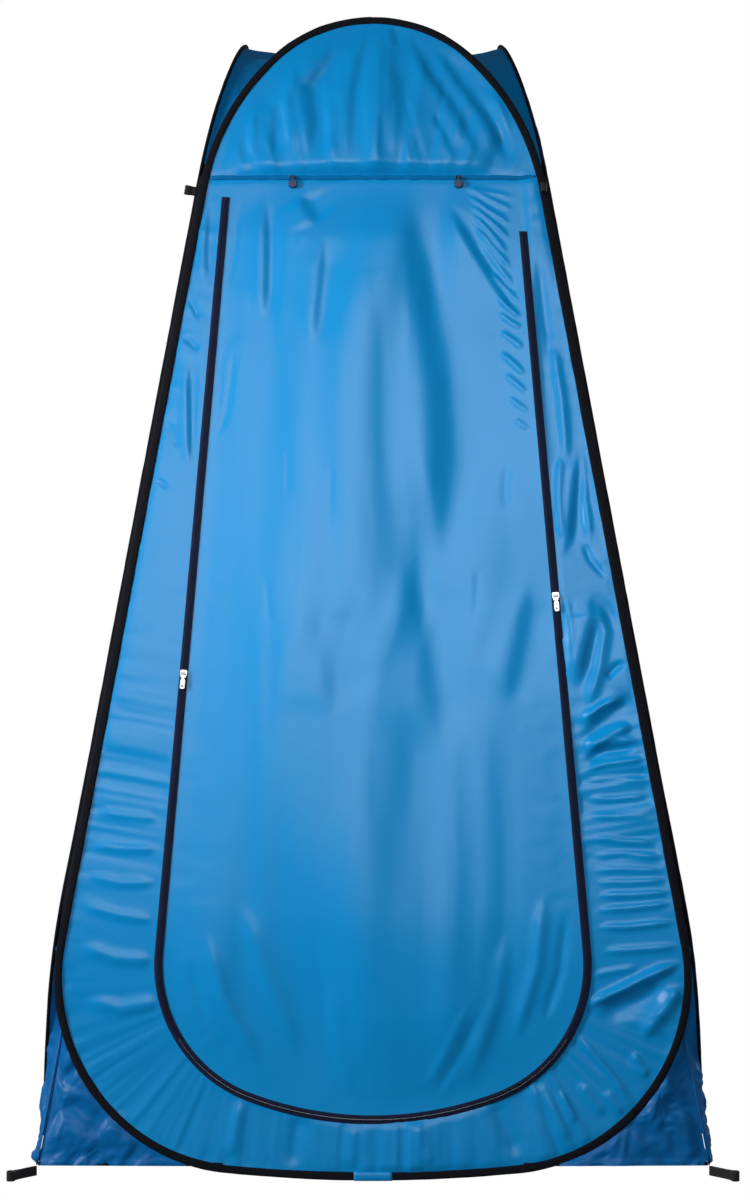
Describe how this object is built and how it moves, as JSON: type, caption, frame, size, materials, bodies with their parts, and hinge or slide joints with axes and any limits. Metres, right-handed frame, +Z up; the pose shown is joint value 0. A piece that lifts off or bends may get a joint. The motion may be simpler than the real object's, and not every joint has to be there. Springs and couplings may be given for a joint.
{
  "type": "privacy shower tent",
  "caption": "Upright pop-up privacy shower tent: four leaning blue cloth panels on spring-steel hoops, arched roof, U-zip door, webbing peg loops.",
  "frame": {"origin": "centre of the footprint at ground level", "axes": "+Z up; the door faces -Y; +X is the right of someone facing the door"},
  "size_m": [1.1418, 1.1418, 1.9],
  "materials": {
    "cloth_blue": "satin coated polyester, bright blue",
    "cloth_door": "satin coated polyester, bright blue",
    "cloth_roof": "satin coated polyester, blue",
    "cloth_skirt": "satin coated polyester, darker blue",
    "binding_black": "woven black binding tape",
    "webbing_black": "woven black webbing",
    "zip_tape_navy": "woven navy tape with nylon coil",
    "spring_steel": "tempered spring wire",
    "nickel": "nickel plated",
    "ferrule_metal": "crimped aluminium",
    "toggle_navy": "moulded, semi-matte navy"
  },
  "bodies": {
    "front": {"front_header": "cloth_blue", "front_surround": "cloth_blue", "front_header_seam": "cloth_blue", "door_panel_01": "cloth_door", "front_hoop_wire": "spring_steel", "front_hoop_ferrule": "ferrule_metal", "front_hoop_binding": "binding_black", "front_skirt_left": "cloth_skirt", "front_skirt_right": "cloth_skirt", "zipper_frame_side": "zip_tape_navy", "zipper_door_side": "zip_tape_navy", "zipper_top_stops": "zip_tape_navy", "toggle_anchors": "webbing_black", "front_left_corner_seam": "binding_black", "front_right_corner_seam": "binding_black", "front_left_stake_loop": "webbing_black", "front_right_stake_loop": "webbing_black", "front_guy_loop": "webbing_black", "front_roof_gore": "cloth_roof"},
    "left": {"left_wall": "cloth_blue", "left_hoop_wire": "spring_steel", "left_hoop_ferrule": "ferrule_metal", "left_hoop_binding": "binding_black", "left_skirt_left": "cloth_skirt", "left_skirt_right": "cloth_skirt", "back_left_corner_seam": "binding_black", "back_left_stake_loop": "webbing_black", "left_guy_loop": "webbing_black", "left_roof_gore": "cloth_roof"},
    "right": {"right_wall": "cloth_blue", "right_hoop_wire": "spring_steel", "right_hoop_ferrule": "ferrule_metal", "right_hoop_binding": "binding_black", "right_skirt_left": "cloth_skirt", "right_skirt_right": "cloth_skirt", "back_right_corner_seam": "binding_black", "back_right_stake_loop": "webbing_black", "right_guy_loop": "webbing_black", "right_roof_gore": "cloth_roof"},
    "back": {"back_wall": "cloth_blue", "back_hoop_wire": "spring_steel", "back_hoop_ferrule": "ferrule_metal", "back_hoop_binding": "binding_black", "back_skirt_left": "cloth_skirt", "back_skirt_right": "cloth_skirt", "back_guy_loop": "webbing_black", "back_roof_gore": "cloth_roof"},
    "door_step_2": {"door_panel_02": "cloth_door"},
    "door_step_3": {"door_panel_03": "cloth_door"},
    "door_step_4": {"door_panel_04": "cloth_door"},
    "door_step_5": {"door_panel_05": "cloth_door"},
    "door_step_6": {"door_panel_06": "cloth_door"},
    "door_step_7": {"door_panel_07": "cloth_door"},
    "door_step_8": {"door_panel_08": "cloth_door"},
    "left_slider": {"left_zip_slider": "nickel"},
    "left_pull": {"left_zip_pull": "nickel"},
    "left_toggle_body": {"left_toggle": "toggle_navy"},
    "right_slider": {"right_zip_slider": "nickel"},
    "right_pull": {"right_zip_pull": "nickel"},
    "right_toggle_body": {"right_toggle": "toggle_navy"}
  },
  "joints": [
    {"name": "tent_fold", "type": "hinge", "parent": "front", "child": "left", "pos_m": [-0.562, -0.562, 0], "axis": [0.1653, 0.1653, 0.9723], "range_deg": [0, 83.4], "deforming": ["front_roof_gore", "left_roof_gore", "right_roof_gore", "back_roof_gore"]},
    {"name": "right_corner_fold", "type": "hinge", "parent": "front", "child": "right", "pos_m": [0.562, -0.562, 0], "axis": [-0.1653, 0.1653, 0.9723], "range_deg": [0, 83.4]},
    {"name": "back_corner_fold", "type": "hinge", "parent": "left", "child": "back", "pos_m": [-0.562, 0.562, 0], "axis": [0.1653, -0.1653, 0.9723], "range_deg": [-83.4, 0]},
    {"name": "door_fold", "type": "hinge", "parent": "front", "child": "door_step_2", "pos_m": [0, -0.33986, 1.33268], "axis": [-1, 0, 0], "range_deg": [0, 176], "deforming": ["zipper_door_side"]},
    {"name": "door_fold_2", "type": "hinge", "parent": "door_step_2", "child": "door_step_3", "pos_m": [0, -0.36817, 1.15599], "axis": [-1, 0, 0], "range_deg": [-176, 0]},
    {"name": "door_fold_3", "type": "hinge", "parent": "door_step_3", "child": "door_step_4", "pos_m": [0, -0.39983, 0.97987], "axis": [-1, 0, 0], "range_deg": [0, 176]},
    {"name": "door_fold_4", "type": "hinge", "parent": "door_step_4", "child": "door_step_5", "pos_m": [0, -0.42815, 0.80318], "axis": [-1, 0, 0], "range_deg": [-176, 0]},
    {"name": "door_fold_5", "type": "hinge", "parent": "door_step_5", "child": "door_step_6", "pos_m": [0, -0.45981, 0.62706], "axis": [-1, 0, 0], "range_deg": [0, 176]},
    {"name": "door_fold_6", "type": "hinge", "parent": "door_step_6", "child": "door_step_7", "pos_m": [0, -0.48813, 0.45036], "axis": [-1, 0, 0], "range_deg": [-176, 0]},
    {"name": "door_fold_7", "type": "hinge", "parent": "door_step_7", "child": "door_step_8", "pos_m": [0, -0.51979, 0.27424], "axis": [-1, 0, 0], "range_deg": [0, 176]},
    {"name": "left_slider_slide", "type": "slide", "parent": "front", "child": "left_slider", "axis": [-0.0739, -0.1671, -0.9832], "range_m": [-0.721, 0.4222]},
    {"name": "left_pull_swing", "type": "hinge", "parent": "left_slider", "child": "left_pull", "pos_m": [-0.30552, -0.43875, 0.78647], "axis": [-0.9973, 0.0124, 0.0729], "range_deg": [0, 150]},
    {"name": "right_slider_slide", "type": "slide", "parent": "front", "child": "right_slider", "axis": [0.0739, -0.1671, -0.9832], "range_m": [-0.5936, 0.5495]},
    {"name": "right_pull_swing", "type": "hinge", "parent": "right_slider", "child": "right_pull", "pos_m": [0.29611, -0.41746, 0.91167], "axis": [-0.9973, -0.0124, -0.0729], "range_deg": [0, 150]},
    {"name": "left_toggle_swing", "type": "hinge", "parent": "front", "child": "left_toggle_body", "pos_m": [-0.134, -0.29663, 1.61233], "axis": [-1, 0, 0], "range_deg": [0, 120]},
    {"name": "right_toggle_swing", "type": "hinge", "parent": "front", "child": "right_toggle_body", "pos_m": [0.143, -0.29663, 1.61233], "axis": [-1, 0, 0], "range_deg": [0, 120]}
  ],
  "couplings": [
    {"joint": "right_corner_fold", "follows": "tent_fold", "ratio": 1},
    {"joint": "back_corner_fold", "follows": "tent_fold", "ratio": -1},
    {"joint": "door_fold_2", "follows": "door_fold", "ratio": -1},
    {"joint": "door_fold_3", "follows": "door_fold", "ratio": 1},
    {"joint": "door_fold_4", "follows": "door_fold", "ratio": -1},
    {"joint": "door_fold_5", "follows": "door_fold", "ratio": 1},
    {"joint": "door_fold_6", "follows": "door_fold", "ratio": -1},
    {"joint": "door_fold_7", "follows": "door_fold", "ratio": 1}
  ]
}
